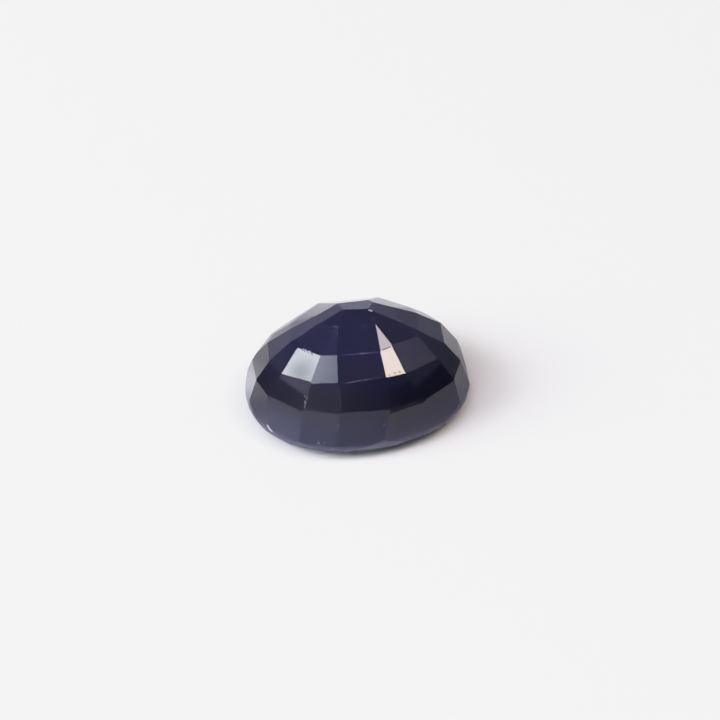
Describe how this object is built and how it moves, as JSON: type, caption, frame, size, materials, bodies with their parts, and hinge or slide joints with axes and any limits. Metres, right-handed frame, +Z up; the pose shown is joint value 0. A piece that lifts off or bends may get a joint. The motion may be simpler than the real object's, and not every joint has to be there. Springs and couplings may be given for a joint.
{
  "type": "oval cut sapphire",
  "caption": "Loose oval gemstone lying on its table, with a stepped pavilion, a thin girdle and a low crown.",
  "frame": {"origin": "middle of the table, on the plane that the stone lies on", "axes": "+X along the oval's long axis, +Z up from the table towards the keel"},
  "size_m": [0.01, 0.0084, 0.0052],
  "materials": {
    "corundum": "polished, see-through, deep blue to violet"
  },
  "bodies": {
    "root": {"sapphire": "corundum"}
  },
  "joints": []
}
